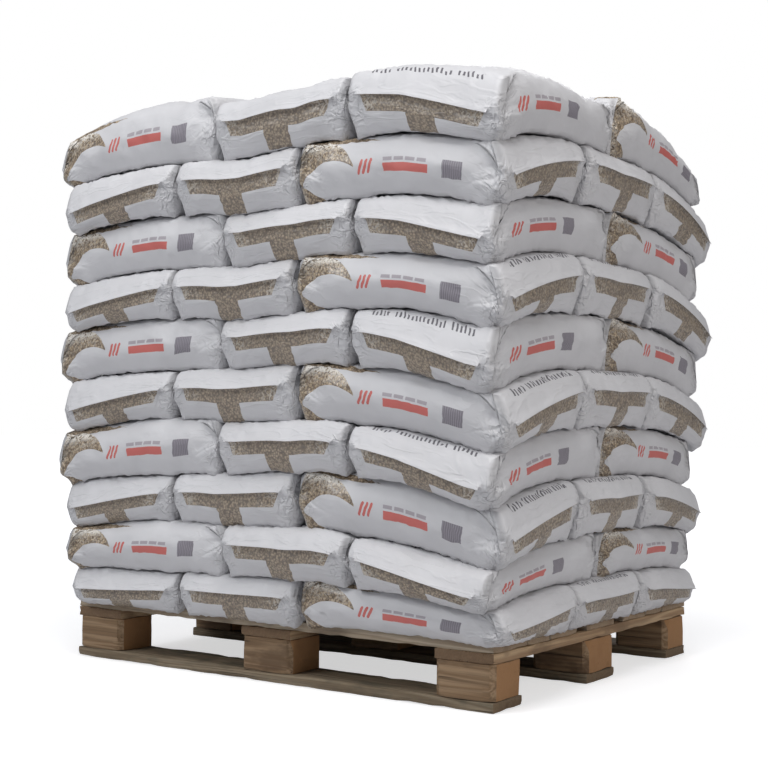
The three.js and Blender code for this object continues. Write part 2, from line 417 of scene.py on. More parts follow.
# One bag: a side-gusseted tube of printed polyethylene film, welded straight across at both ends and
# filled with about 15 kg of wood pellets. The weld stands off each end as a narrow fin. The bags are
# filled by simulation between two plates, which are the layers above and below.
BAG_LENGTH = 0.530
BAG_WIDTH = 0.354
BAG_HEIGHT = 0.112
RIM = 0.09
RIM_STEP = 0.009
FACE_STEP = 0.0135
WALL_STEPS = 12
UPRIGHT_RADIUS = 0.010
END_FOLD_RADIUS = 0.014
SIDE_FOLD_RADIUS = 0.024
SIDE_FOLD_REACH = 0.12
CORNER_HOLD = 0.8
FLANK_START = 0.170
FLANK_RAMP = 0.008
FLANK_STEP = 0.016
FLANK_FOOT = 0.022
FOLD_SAG = 0.009
LIP_SHARE = 0.66
LIP_OUT = 0.009
LIP_HOLLOW = 0.006
GUSSET_UPPER = 0.62
GUSSET_LOWER = 0.52
GUSSET_REACH = 0.095
GUSSET_TUCK = 0.018
TOP_SETBACK = 0.017
BOTTOM_SETBACK = 0.021
FOOT_ROUNDING = 0.014
FOOT_TUCK = 0.008
START_CREASE = 0.0012
FILL_FRAMES = 26
FILL_PRESSURE = 4.0
TOP_FILL_PRESSURE = 3.0
PLATE_GAP = 0.005
TOP_PLATE_GAP = 0.014
FIN_HALF = 0.152
FIN_LENGTH = 0.006
FIN_DROP = 0.004
FIN_WALL = 0.0008


def stations(size):
    """Where the film's grid is cut along one side: close together near the ends, wider in the middle."""
    half = size / 2
    rim = np.linspace(half, half - RIM, round(RIM / RIM_STEP) + 1)
    middle = np.linspace(RIM - half, half - RIM, round((size - 2 * RIM) / FACE_STEP) + 1)
    return np.unique(np.round(np.concatenate([-rim, middle, rim]), 6))[1:-1]


deselect_all()
bpy.ops.mesh.primitive_cube_add(size=1, scale=(BAG_LENGTH, BAG_WIDTH, BAG_HEIGHT))
blank = bpy.context.object
bpy.ops.object.transform_apply(scale=True)
bpy.ops.object.mode_set(mode="EDIT")
wall_cuts = np.linspace(-BAG_HEIGHT / 2, BAG_HEIGHT / 2, WALL_STEPS + 1)[1:-1]
for axis, cuts in enumerate((stations(BAG_LENGTH), stations(BAG_WIDTH), wall_cuts)):
    cut_along(axis, cuts)
bpy.ops.object.mode_set(mode="OBJECT")

cut_film = points_of(blank)
half_length, half_width, half_height = BAG_LENGTH / 2, BAG_WIDTH / 2, BAG_HEIGHT / 2
lip_level = wall_cuts[np.argmin(np.abs(wall_cuts / BAG_HEIGHT + 0.5 - LIP_SHARE))]
film_along, film_across, film_height = cut_film.T
off_end = half_length - np.abs(film_along)
off_side = half_width - np.abs(film_across)
off_lip = film_height - lip_level
on_lip = (np.abs(off_end) < 1e-4) & (np.abs(off_lip) < 1e-4)
film_points = KDTree(len(cut_film))
for i, point in enumerate(cut_film):
    film_points.insert(point, i)
film_points.balance()


def corner_pull(first, second):
    """How far the points of a corner are drawn in to round it, as a share of their reach along two axes."""
    return 1 - np.maximum(first, second) / np.maximum(np.hypot(first, second), 1e-9)


def rounded_corner(places, axes, radius):
    """Draws the box's edge between two axes in to a rounded one."""
    half = (half_length, half_width, half_height)
    reach = [np.clip((np.abs(places[:, axis]) - half[axis]) / radius + 1, 0, 1) for axis in axes]
    pull = corner_pull(*reach)
    rounded = places.copy()
    for axis, share in zip(axes, reach):
        rounded[:, axis] -= np.sign(places[:, axis]) * radius * share * pull
    return rounded


def folded_film():
    """The cut film with its folds rounded, the side ones less near the ends, which the weld draws out."""
    below = np.clip(-off_lip / (half_height + lip_level), 0, 1)
    above = np.clip(off_lip / (half_height - lip_level), 0, 1)
    toward_middle = np.clip(off_end / SIDE_FOLD_REACH, 0.2, 1)
    places = rounded_corner(cut_film, (0, 1), UPRIGHT_RADIUS + FOOT_ROUNDING * below ** 1.3)
    places = rounded_corner(places, (0, 2), END_FOLD_RADIUS)
    places = rounded_corner(places, (1, 2), SIDE_FOLD_RADIUS * toward_middle)
    places[:, 1] *= 1 - FOOT_TUCK * below ** 2 / half_width
    places[:, 0] *= 1 + (LIP_OUT - TOP_SETBACK * above ** 1.2 - BOTTOM_SETBACK * below ** 1.2) / half_length
    return places


def pressing_plate(height, faces_down):
    bpy.ops.mesh.primitive_plane_add(size=1.2, location=(0, 0, height))
    plate = bpy.context.object
    plate.rotation_euler.x = math.pi if faces_down else 0
    plate.modifiers.new("Collision", "COLLISION")
    plate.collision.thickness_outer = 0.002
    plate.collision.cloth_friction = 20
    return plate


def fill_bag(seed, head_room, pressure):
    """Fills one bag between its plates and gives the places of the blank's vertices afterwards."""
    deselect_all()
    bag = blank.copy()
    bag.data = blank.data.copy()
    bpy.context.scene.collection.objects.link(bag)
    dice = np.random.default_rng(seed)
    outward = (np.abs(cut_film) > np.array((half_length, half_width, half_height)) - 1e-4) * np.sign(cut_film)
    outward /= np.linalg.norm(outward, axis=1)[:, None]
    start = folded_film() + outward * dice.normal(0, START_CREASE, len(cut_film))[:, None]
    bag.data.vertices.foreach_set("co", start.ravel())
    plates = [pressing_plate(half_height + head_room, True), pressing_plate(-half_height - PLATE_GAP, False)]
    cloth = bag.modifiers.new("filling", "CLOTH")
    film = cloth.settings
    film.quality = 6
    film.mass = 0.2
    film.tension_stiffness = film.compression_stiffness = 40
    film.shear_stiffness = 12
    film.bending_stiffness = 0.03
    film.tension_damping = film.compression_damping = film.shear_damping = 8
    film.use_pressure = True
    film.uniform_pressure_force = pressure
    film.shrink_min = -0.018
    film.effector_weights.gravity = 0
    cloth.collision_settings.use_collision = True
    cloth.collision_settings.distance_min = 0.002
    cloth.collision_settings.collision_quality = 2
    cloth.point_cache.frame_start = 1
    cloth.point_cache.frame_end = FILL_FRAMES
    for step in range(1, FILL_FRAMES + 1):
        bpy.context.scene.frame_set(step)
    filled = bag.evaluated_get(bpy.context.evaluated_depsgraph_get())
    places = points_of(filled)
    for thing in (bag, *plates):
        bpy.data.objects.remove(thing)
    bpy.context.scene.frame_set(1)
    return with_straight_welds(with_ends(with_gussets(places, dice)))


# Folds that the grid of the simulation is too slack for are set afterwards. These are their sizes.
WALL_REACH = 0.012
UPPER_EASE = 0.008
LOWER_EASE = 0.012
FLANGE_OUT = 0.004
FLANGE_WIDTH = 0.007
FLANGE_FOOT = 0.012
EAR_OUT = 0.006
EAR_OFF_END = 0.012
EAR_DROP = 0.030
EAR_WIDTH = 0.016
PLEAT_DEPTH = 0.0014
PLEAT_TURNS = 8
PLEAT_REACH = 0.05
PLEAT_START = 0.02
HOLD_WIDTH = 0.03
HOLD_SHARE = 0.28
HOLD_SWELL = 1.01
HOLLOW_EASE = 0.008
HOLLOW_FOOT = 0.042
HOLLOW_FLANK = 0.02
HOLLOW_REACH = 0.012
FLANK_REACH = 0.03
SAG_REACH = 0.035
WELD_REACH = 0.02
WELD_WIDTH = 0.012


def hump(value, width):
    """1 where the value is 0, and falling off to both sides."""
    return np.exp(-(value / width) ** 2)


def with_gussets(places, dice):
    """Sets the gusset's two creases that run together at each end of the weld, the ear below them, and
    pleats that fan out from there. The corners are held near where the film was folded."""
    end, side = np.sign(film_along), np.sign(film_across)
    on_wall = np.clip(1 - off_side / WALL_REACH, 0, 1)
    under_upper = np.clip((GUSSET_UPPER * off_end - off_lip) / UPPER_EASE, 0, 1)
    over_lower = np.clip((off_lip + GUSSET_LOWER * off_end) / LOWER_EASE, 0, 1)
    fade = np.clip(1 - off_end / GUSSET_REACH, 0, 1) * np.clip(off_end / UPPER_EASE, 0, 1)
    tuck = GUSSET_TUCK * (under_upper * over_lower) * fade
    flange = FLANGE_OUT * hump(off_end, FLANGE_WIDTH) * (off_lip > -FLANGE_FOOT)
    ear = EAR_OUT * hump(off_end - EAR_OFF_END, EAR_WIDTH) * hump(off_lip + EAR_DROP, EAR_WIDTH)
    radius = np.hypot(off_lip, off_end)
    phase = dice.uniform(0, 6, 4)[(end > 0).astype(int) * 2 + (side > 0)]
    pleats = PLEAT_DEPTH * np.sin(np.arctan2(off_lip, off_end) * PLEAT_TURNS + phase)
    pleats = pleats * np.exp(-radius / PLEAT_REACH) * np.clip(radius / PLEAT_START, 0, 1)
    near_corner = np.clip(1 - off_side / (half_width * HOLD_SHARE), 0, 1) ** 0.5
    hold = (CORNER_HOLD * hump(off_end, HOLD_WIDTH) * near_corner)[:, None]
    held = folded_film() * (1, HOLD_SWELL, 1 + PLATE_GAP / half_height)
    places = places * (1 - hold) + held * hold
    places[:, 1] -= side * on_wall * (tuck - flange - ear - pleats)
    return places


def with_ends(places):
    """Hollows the ends out under the weld, steps their flanks back, and lets the rim of the bottom sag."""
    near_end = np.clip(1 - off_end / HOLLOW_REACH, 0, 1)
    under_lip = np.clip(-off_lip / HOLLOW_EASE, 0, 1) * np.clip(1 + off_lip / HOLLOW_FOOT, 0, 1)
    hollow = LIP_HOLLOW * under_lip * np.clip(off_side / HOLLOW_FLANK, 0, 1)
    off_foot = np.clip(1 + off_lip / FLANK_FOOT, 0, 1)
    flank = FLANK_STEP * off_foot * np.clip((np.abs(film_across) - FLANK_START) / FLANK_RAMP, 0, 1)
    flank = flank * np.clip(1 - off_end / FLANK_REACH, 0, 1)
    places[:, 0] -= np.sign(film_along) * (hollow * near_end + flank)
    near_rim = np.clip(1 - np.minimum(off_end, off_side) / SAG_REACH, 0, 1)
    places[:, 2] -= FOLD_SAG * near_rim * np.clip(-film_height / half_height * 3 - 2, 0, 1)
    return places


def with_straight_welds(places):
    """Draws each lip onto the smooth curve that the weld holds it to, and the film beside it along."""
    for half in (-1, 1):
        at_lip = on_lip & (film_along * half > 0)
        order = np.argsort(film_across[at_lip])
        lip_across = film_across[at_lip][order]
        inner = np.abs(lip_across) < FLANK_START
        near_half = (film_along * half > 0) & (np.abs(film_across) < FLANK_START)
        weight = near_half * np.clip(1 - off_end / WELD_REACH, 0, 1) * hump(off_lip, WELD_WIDTH)
        for axis in (0, 2):
            lip = places[at_lip, axis][order]
            curve = np.polynomial.Polynomial.fit(lip_across[inner], lip[inner], 2)
            off = np.interp(film_across, lip_across, lip - curve(lip_across))
            places[:, axis] -= off * weight
    return places


def mirrored(places, flip_length, flip_width):
    """The same filled shape with its ends or sides swapped, while the print stays where it is."""
    flips = np.array([-1 if flip_length else 1, -1 if flip_width else 1, 1])
    source = [film_points.find(point)[1] for point in cut_film * flips]
    return places[source] * flips


def weld_fins(mesh_object):
    """Bevels the lip of each end open and draws it out into the thin fin of the weld."""
    mesh = mesh_object.data
    deselect_all()
    mesh_object.select_set(True)
    bpy.context.view_layer.objects.active = mesh_object
    for side in (-1, 1):
        clear_selection(mesh)
        on_side = on_lip & (film_along * side > 0) & (np.abs(film_across) < FIN_HALF)
        for edge in mesh.edges:
            edge.select = all(i < len(on_side) and on_side[i] for i in edge.vertices)
            if edge.select:
                for i in edge.vertices:
                    mesh.vertices[i].select = True
        bpy.ops.object.mode_set(mode="EDIT")
        bpy.ops.mesh.select_mode(type="EDGE")
        bpy.ops.mesh.bevel(offset=FIN_WALL, segments=1)
        bpy.ops.mesh.select_mode(type="FACE")
        move = (side * FIN_LENGTH, 0, -FIN_DROP)
        bpy.ops.mesh.extrude_region_move(TRANSFORM_OT_translate={"value": move})
        bpy.ops.object.mode_set(mode="OBJECT")


def filled_pattern(places):
    """A finished bag, lying at the origin, as a pattern for the bags of the stack."""
    pattern = blank.copy()
    pattern.data = blank.data.copy()
    bpy.context.scene.collection.objects.link(pattern)
    store(pattern, "print", cut_film)
    pattern.data.vertices.foreach_set("co", places.ravel())
    weld_fins(pattern)
    pattern.data.polygons.foreach_set("use_smooth", [True] * len(pattern.data.polygons))
    return pattern


FLIPS = ((False, False), (True, False), (False, True), (True, True))
pressed_patterns = []
for seed in (3, 11, 24, 37):
    filled = fill_bag(seed, PLATE_GAP, FILL_PRESSURE)
    pressed_patterns += [filled_pattern(mirrored(filled, *flips)) for flips in FLIPS]
top_patterns = []
for seed in (51, 68):
    filled = fill_bag(seed, TOP_PLATE_GAP, TOP_FILL_PRESSURE)
    top_patterns += [filled_pattern(mirrored(filled, *flips)) for flips in FLIPS]
bpy.data.objects.remove(blank)


# The film: white polyethylene, satin and creased, with clear windows that show the pellets. One long side
# has a window with a white dome in it, and both ends have a clear T under the weld. The print on the sides
# is three red strokes, a line of dashes over a red bar, and a striped block.
WHITE = tone(213, 212, 214)
PELLET = tone(182, 162, 134)
PELLET_DARK = tone(112, 93, 72)
RED = tone(204, 96, 86)
GREY = tone(168, 160, 166)
STRIPE = tone(120, 113, 123)
HAZE = tone(158, 154, 150)
CREASE_WHITE_AND_GLINT = tone(240, 234, 224)
INK = tone(80, 76, 84)
ON_FACE = 0.0004

film_material, paint, shader = blank_material("sack_film")
grain = paint.attribute("grain")
along, across, height = paint.attribute("print").parts()
share = along / BAG_LENGTH + 0.5
rise = height / BAG_HEIGHT + 0.5
from_tip = half_length - abs(along)
from_side = half_width - abs(across)
up_from_lip = height - lip_level
on_end = abs(along) > half_length - ON_FACE
on_first_side = (across < ON_FACE - half_width) & (1 - on_end)
on_second_side = (across > half_width - ON_FACE) & (1 - on_end)
on_a_side = on_first_side | on_second_side
on_top = (height > half_height - ON_FACE) & (1 - on_end)

# The first side's window: its far border bows out, and the dome stands in it. Their places are shares of
# the bag's length and height. The window runs on over the top fold as a sliver that tapers out.
WINDOW_BORDER = 0.315
BOW_START = 0.55
DOME_MIDDLE = 0.21
DOME_TOP = 0.63
DOME_BEND = 10.4
DOME_EDGE = 0.035
SLIVER_WIDTH = 0.055
SLIVER_TAPER = 0.13
above_middle = (rise - BOW_START).math("MAXIMUM", 0.0)
border = WINDOW_BORDER - above_middle * 0.10 - above_middle * above_middle * 0.45
dome_off = share - DOME_MIDDLE
dome = rise < DOME_TOP - dome_off * dome_off * DOME_BEND
dome = dome & (share > 0.13 - rise * 0.37) & (share > DOME_EDGE)
first_window = on_first_side & (share < border) & (1 - dome)
top_window = on_top & (across + half_width < SLIVER_WIDTH - share * SLIVER_TAPER)

# Ends: a clear band under the weld and a stem below it, between two white panels.
BAND_INSET = 0.026
BAND_TAPER = 0.05
BAND_FOOT = 0.36
STEM_TOP = 0.37
STEM_SHARE = 0.19
lip_rise = lip_level / BAG_HEIGHT + 0.5
band_half = FLANK_START - BAND_INSET - (lip_rise - rise) * BAND_TAPER
end_band = (rise < lip_rise) & (rise > BAND_FOOT) & (abs(across) < band_half)
end_stem = (rise < STEM_TOP) & (abs(across) < half_width * STEM_SHARE)
end_window = on_end & (end_band | end_stem)
window = first_window | top_window | end_window

# Sides: the print, in millimetres of a full bag from the left edge of its row, and in shares of the height.
FULL_BAG_MM = 549
FULL_HEIGHT_MM = 112
FIRST_ROW_START = 169
SECOND_ROW_START = 52
STROKES_AT = (22, 34, 46)
STROKE_MIDDLE = 56
STROKE_LEAN = 0.5
STROKE_HALF_RUN = 12
STROKE_RADIUS = 3.2
BAR = (81, 196, 0.385, 0.53)
DASHES = (81, 196, 0.565, 0.625)
DASH_PITCH = 29
DASH_SHARE = 0.82
BLOCK = (231, 280, 0.335, 0.645)
STRIPE_PITCH = 5.2
STRIPE_SHARE = 0.62

first_place = share * FULL_BAG_MM - FIRST_ROW_START
second_place = (1 - share) * FULL_BAG_MM - SECOND_ROW_START
from_left = first_place * on_first_side + second_place * (1 - on_first_side)


def box_mask(left, right, bottom, top):
    return (from_left > left) & (from_left < right) & (rise > bottom) & (rise < top)


def stroke_mask(middle):
    """A rounded stroke, leaning from upright."""
    right_of = from_left - middle
    above = rise * FULL_HEIGHT_MM - STROKE_MIDDLE
    run = right_of * math.sin(STROKE_LEAN) + above * math.cos(STROKE_LEAN)
    off = right_of * math.cos(STROKE_LEAN) - above * math.sin(STROKE_LEAN)
    past = (abs(run) - STROKE_HALF_RUN).math("MAXIMUM", 0.0)
    return (past * past + off * off) < STROKE_RADIUS ** 2


first_stroke, second_stroke, third_stroke = (stroke_mask(middle) for middle in STROKES_AT)
in_dash = ((from_left - DASHES[0]) / DASH_PITCH).math("FRACT") < DASH_SHARE
in_stripe = (from_left / STRIPE_PITCH).math("FRACT") < STRIPE_SHARE
red = (first_stroke | second_stroke | third_stroke | box_mask(*BAR)) & on_a_side
grey = box_mask(*DASHES) & in_dash & on_a_side
stripe = box_mask(*BLOCK) & (0.78 + in_stripe * 0.22) & on_a_side

# Top: one row of dark strokes across the bag, near the fold over the end without a window. How far on from
# the fold it sits is each bag's own slip, so it shows at the ends of some bags only.
INK_PITCH = 0.010
INK_LEAN = 22
ink_cell = across / INK_PITCH
ink_seed = ink_cell.node("TexWhiteNoise", {"noise_dimensions": "1D"}, {"W": ink_cell.math("FLOOR")})
past_fold = height - along + (half_length - half_height) - paint.attribute("slip", output=2)
ink_middle = (ink_seed - 0.5) * 0.005 + 0.0055
ink_run = abs(past_fold - ink_middle) < 0.006 + ink_seed * 0.003
ink_lean = abs(ink_cell.math("FRACT") - 0.5 + (past_fold - 0.007) * INK_LEAN) < 0.22
inked = ink_run & ink_lean & (abs(across) < half_width * 0.74) & (ink_seed < 0.9)
inked = inked & (along > 0) & (height > half_height * 0.6)

# Pellets behind the film: short rods in all directions, each a little lighter or darker. The film over them
# is hazy and whitened along its creases, partly its own whitening and partly painted sheen. At the folds it
# has painted glints, which are highlights put into its colour.
RODS_PER_METRE = 190.0
rods = grain.node("TexVoronoi", None, {"Vector": grain, "Scale": RODS_PER_METRE})
rod_tone = Paint(paint.tree, rods.socket.node.outputs[1])
rod_share = rod_tone.node("SeparateColor", None, {0: rod_tone})
pellet_color = rods.ease(0.25, 0.75).blend(PELLET, PELLET_DARK)
pellet_color = (rod_share * 0.5 + 0.72).tint(pellet_color)
haze = end_window * 0.34 + (1 - end_window) * 0.08
pellet_color = haze.blend(pellet_color, HAZE)
# Painted sheen: the creases are whitened, more towards the top of the first window and the sides of the band.
# This is partly the film's own whitening and partly painted sheen.
side_crease_sheen = first_window * rise.ease(0.45, 0.85) * 0.35
end_crease_sheen = end_window * abs(across).ease(0.07, 0.14) * 0.5
crease_white_and_sheen = grain.ridges(60, 2, 0.5, 1.0).ease(0.86, 0.97) * (side_crease_sheen + end_crease_sheen)
# Painted highlights: glints painted into the colour near the top fold of the first window and near its end.
near_fold = rise.ease(0.76, 0.92) | from_tip.ease(0.030, 0.0) * 0.5
painted_glints = grain.stretch(1, 1, 1.8).ridges(95, 2, 0.5, 0.6).ease(0.74, 0.88) * (first_window * near_fold)
pellet_color = (crease_white_and_sheen | painted_glints).blend(pellet_color, CREASE_WHITE_AND_GLINT)

white_film = grain.noise(9, 4).ease(0.3, 0.7, 0.94, 1.0).tint(WHITE[:3])
color = window.blend(white_film, pellet_color)
for ink, mask in ((RED, red), (GREY, grey), (STRIPE, stripe), (INK, inked)):
    color = (mask * 0.92).blend(color, ink)

# Creases, as heights in millimetres: slack waves all over, fine wrinkles towards the ends, and the sharp
# folds of the gussets with pleats that fan out from the ends of the weld.
EAR_LEVEL = 0.028
FOLD_OFFSET = 0.003
FOLD_WIDTH = 0.0040
slack = grain.stretch(1, 1.7, 1.7).noise(9, 2, 0.5, 0.3)
wrinkles = grain.stretch(1, 0.5, 2.2).ridges(22, 2, 0.5, 0.4).ease(0.82, 1.0)
wrinkles = wrinkles * (from_tip.ease(0.16, 0.0) * 0.7 + 0.08)
fold_fade = from_tip.ease(0.100, 0.03)


def fold_line(slope, width):
    """A fold on the gusset that runs from the end of the weld up or down the side."""
    return ((up_from_lip - from_tip * slope) / width).bell() * fold_fade


upper_fold = fold_line(GUSSET_UPPER, 0.0030)
folds = upper_fold * -3.0 + fold_line(GUSSET_UPPER + 0.16, 0.007) * 1.4
folds = folds + fold_line(-GUSSET_LOWER, 0.0040) * -1.6
fan_angle = up_from_lip.math("ARCTAN2", from_tip) + slack * 0.6
fan_fade = (from_tip + abs(up_from_lip)).ease(0.11, 0.02)
fan = (fan_angle * 15).math("SINE") * fan_fade * 0.9
gathers = grain.stretch(1.6, 1.6, 0.35).noise(24, 2, 0.5) * 1.1
lumps = grain.noise(150, 1) * 0.12
off_ear = up_from_lip + EAR_LEVEL
ear_zone = (off_ear * off_ear + from_tip * from_tip + from_side * from_side).ease(0.0036, 0.0)
crumple = grain.ridges(40, 2, 0.6, 0.6).ease(0.7, 1.0) * ear_zone
clear_crinkle = grain.ridges(48, 2, 0.5, 0.8).ease(0.75, 1.0)
flank_fold = ((abs(across) - FLANK_START - FOLD_OFFSET) / FOLD_WIDTH).bell() * on_end * (rise > lip_rise)
relief = slack * 3.2 + wrinkles * 0.8 + (folds + fan) * on_a_side + gathers + lumps
relief = relief + crumple * 2.8 - flank_fold * 0.8
relief = relief + window * (rods * -0.25 + clear_crinkle * 0.9) + first_window * clear_crinkle * 0.8

# Painted shade: the colour is darkened along the upper gusset folds of the sides and the flank folds of the
# ends, as shade in the creases.
painted_fold_shade = 1 - (upper_fold * on_a_side + flank_fold * 0.7) * 0.35
connect(shader, {
    "Base Color": painted_fold_shade.tint(color),
    "Roughness": 0.42 - window * 0.10 + slack * 0.08,
    "Coat Weight": window * 0.22 + first_window * 0.28,
    "Normal": relief.bump(1.0, 0.001),
})
shader.inputs["Coat Roughness"].default_value = 0.18
shader.inputs["IOR"].default_value = 1.5


# The stack: ten layers of seven bags, three side by side and a block of two by two beside them, turned
# about in each layer so that the joints cross. The load presses the lower layers flat, and the layers
# bed on each other in a shallow dome whose corners hang.
LAYER_HEIGHTS = (0.084, 0.102, 0.115, 0.118, 0.124, 0.124, 0.125, 0.124, 0.127, 0.155)
DECK_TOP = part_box("deck_board_1")[1].z
PITCH_LENGTH = 0.524
PITCH_WIDTH = 0.369
ROW_SHIFT = 0.015
BED_RISE = 0.045
BED_FALL_LONG = 0.007
BED_FALL_SHORT = 0.017
CORNER_DROOP = 0.065
FLATTENING = 0.55
BED_HALF_LENGTH = 0.640
BED_HALF_WIDTH = 0.550
BED_GAP = 0.0004

# How far each bed above the first lies off that dome on the long near side, in millimetres, at each of
# these places along the side.
TRIM_AT = (-0.530, -0.329, -0.049, 0.179, 0.390, 0.562)
LONG_SIDE_TRIM = (
    (7, -4, 3, 7, 4, -5),
    (10, 18, 5, 13, -3, -18),
    (13, 4, 7, 23, 21, -2),
    (24, 27, 2, 14, 7, -7),
    (23, 8, 1, 17, 14, -3),
    (29, 17, -11, 11, 19, 8),
    (16, 5, -15, 7, 18, 13),
    (24, 15, -18, 1, 17, 12),
    (21, 7, -17, 10, 25, 17),
)

# How far each layer lies off the pallet's centre and how far it has spread, along X and Y.
LAYER_SHIFTS = (
    (0.016, -0.034), (0.011, -0.022), (0.003, -0.024), (-0.008, -0.012), (0.0, 0.0),
    (-0.012, 0.012), (-0.004, 0.003), (-0.008, 0.009), (-0.002, 0.004), (-0.006, 0.0),
)
LAYER_SPREADS = (
    (0.966, 0.925), (0.965, 0.975), (0.990, 0.945), (0.997, 0.990), (0.997, 0.995),
    (1.004, 1.015), (1.000, 1.010), (0.995, 1.010), (0.996, 1.010), (0.995, 1.000),
)

# A bed sags over the joints of the layer below, and where the lowest bags hang over the deck's edge.
SEAM_DIP = 0.006
SEAM_WIDTH = 0.035
DECK_HALF_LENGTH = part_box("deck_board_1")[1].x
DECK_HALF_WIDTH = -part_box("deck_board_1")[0].y
OVERHANG_DROOP = 0.28
OVERHANG_START = 0.003

# The top bags, which nothing presses together, have slid apart: by this much at these places along X.
SLIDE_PLACES = (-0.634, -0.113, 0.255, 0.622)
SLIDES = (-0.021, -0.035, -0.020, 0.015)

# How the top bags fall off, those of the row, of the near block and of the far block: toward which end,
# from which share of the half length, by what share of the thickness and how roundly.
TOP_FALLS = ((-1, 0.15, 0.22, 1.5), (-1, 0.60, 0.28, 1.1), (1, 0.50, 0.50, 1.3))
TOP_HEIGHTS = (0.157, 0.155, 0.155, 0.146, 0.138, 0.145, 0.145)

# How the bags hang and are rounded at the free corners of the stack.
CORNER_SLIP = 0.20
CORNER_REACH = 0.36
SLIP_REACH = 0.06
FREE_CORNER_ROUNDING = 0.050
SLACK_CORNER_ROUNDING = 0.030


def layer_facing(index):
    return 1 if index % 2 == 0 else -1


def seam_depth(index, x, y):
    """How far a bed sags at a point, where bags of the layer below it meet: one at their very joint."""
    facing = layer_facing(index)
    row_side = facing * x > PITCH_WIDTH - PITCH_LENGTH / 2
    gaps = [np.abs(x - facing * (PITCH_LENGTH / 2 + PITCH_WIDTH - PITCH_LENGTH))]
    row_gap = np.abs(np.abs(y - ROW_SHIFT) - PITCH_WIDTH / 2)
    gaps.append(np.where(row_side, row_gap, np.abs(y + ROW_SHIFT)))
    gaps.append(np.where(row_side, 1.0, np.abs(x + facing * PITCH_LENGTH / 2)))
    return hump(np.min(gaps, axis=0), SEAM_WIDTH)


def bed(index, x, y):
    """Height of the surface under the layer of this index, at points in plan."""
    along_share = (x / BED_HALF_LENGTH) ** 2
    across_share = np.abs(y / BED_HALF_WIDTH) ** 3
    dome = BED_RISE - BED_FALL_LONG * along_share - BED_FALL_SHORT * across_share
    dome = dome - CORNER_DROOP * along_share * across_share
    height = DECK_TOP + sum(LAYER_HEIGHTS[:index]) + dome * (1 - FLATTENING ** index)
    if index == 0:
        past_deck = np.maximum(np.abs(x) - DECK_HALF_LENGTH - OVERHANG_START, 0)
        past_deck = past_deck + np.maximum(np.abs(y) - DECK_HALF_WIDTH - OVERHANG_START, 0)
        return height - OVERHANG_DROOP * past_deck + BED_GAP
    trim = np.interp(x, TRIM_AT, LONG_SIDE_TRIM[index - 1])
    height = height + 0.001 * trim * np.clip((BED_HALF_WIDTH - y) / (2 * BED_HALF_WIDTH), 0, 1) ** 2
    return height - SEAM_DIP * seam_depth(index - 1, x, y)


def layer_places(facing):
    """Centre and turn of each bag of a layer, the layer's own centre at the origin."""
    layer_length = PITCH_LENGTH + 2 * PITCH_WIDTH
    places = []
    for i in range(3):
        places.append((facing * (layer_length - PITCH_LENGTH) / 2, (i - 1) * PITCH_WIDTH + ROW_SHIFT, 0.0))
    for i in range(4):
        x = facing * ((0.5 + i % 2) * PITCH_WIDTH - layer_length / 2)
        side = i // 2 - 0.5
        places.append((x, side * PITCH_LENGTH - ROW_SHIFT, math.copysign(math.pi / 2, side)))
    return places


# How far on from the fold the row of dark strokes sits: on most bags, and on those that show it at their
# ends, by layer and number in it.
USUAL_SLIP = 0.050
PRINT_SLIPS = {
    (1, 2): 0.000, (3, 1): -0.005, (3, 2): -0.002, (4, 4): 0.011, (5, 1): -0.005,
    (5, 2): 0.000, (6, 4): -0.004, (7, 1): 0.000, (7, 2): 0.006, (10, 4): 0.002,
}

# How the bags press on each other and round off where they meet, and how unevenly they lie.
PRESS_SOFTNESS = 0.008
PRESS_GAP = 0.0003
OUTER_MARGIN = 0.01
JOINT_ROUNDING = 0.045
REST_PERCENTILES = (6, 99.5)
TURN_SPREAD = math.radians(0.5)
SHIFT_SPREAD = 0.0035
SWELL_SPREAD = 0.010


def pressed(value, limit):
    """Keeps a bulge from passing the neighbour's: past the limit less the softness, it flattens out."""
    soft_start = limit - PRESS_SOFTNESS
    over = np.maximum(value - soft_start, 0)
    return np.minimum(value, soft_start) + PRESS_SOFTNESS * (1 - np.exp(-over / PRESS_SOFTNESS))


def pressed_between(offsets, centre, half, outer):
    """Presses a bag flat along one axis on each side but an outer one of its layer."""
    if centre + half < outer - OUTER_MARGIN:
        offsets = pressed(offsets, half - PRESS_GAP)
    if centre - half > OUTER_MARGIN - outer:
        offsets = -pressed(-offsets, half - PRESS_GAP)
    return offsets


def rounded_end(lengthwise, sidewise):
    """Rounds the windowed end of a bag off in plan, where two bags of the block meet end to end."""
    over_length = np.maximum(-lengthwise - half_length + JOINT_ROUNDING, 0)
    over_width = np.maximum(np.abs(sidewise) - PITCH_WIDTH / 2 + JOINT_ROUNDING, 0)
    pull = corner_pull(over_length, over_width)
    return lengthwise + over_length * pull, sidewise - np.sign(sidewise) * over_width * pull


def rounded_free_corners(layer_x, layer_y, outer_x, outer_y, share_up, index):
    """Rounds the corners of the stack in plan, at the foot of each bag, since the pellets have run down
    there. Two corners of every second layer are round over their whole height."""
    slack_corner = (layer_x * layer_y > 0) & (layer_facing(index) > 0)
    radius = FREE_CORNER_ROUNDING * np.clip(1 - share_up / LIP_SHARE, 0, 1) ** 1.3
    radius = np.maximum(radius, np.where(slack_corner, SLACK_CORNER_ROUNDING, 1e-4))
    over_x = np.maximum(np.abs(layer_x) - outer_x + radius, 0)
    over_y = np.maximum(np.abs(layer_y) - outer_y + radius, 0)
    pull = corner_pull(over_x, over_y)
    return layer_x - np.sign(layer_x) * over_x * pull, layer_y - np.sign(layer_y) * over_y * pull


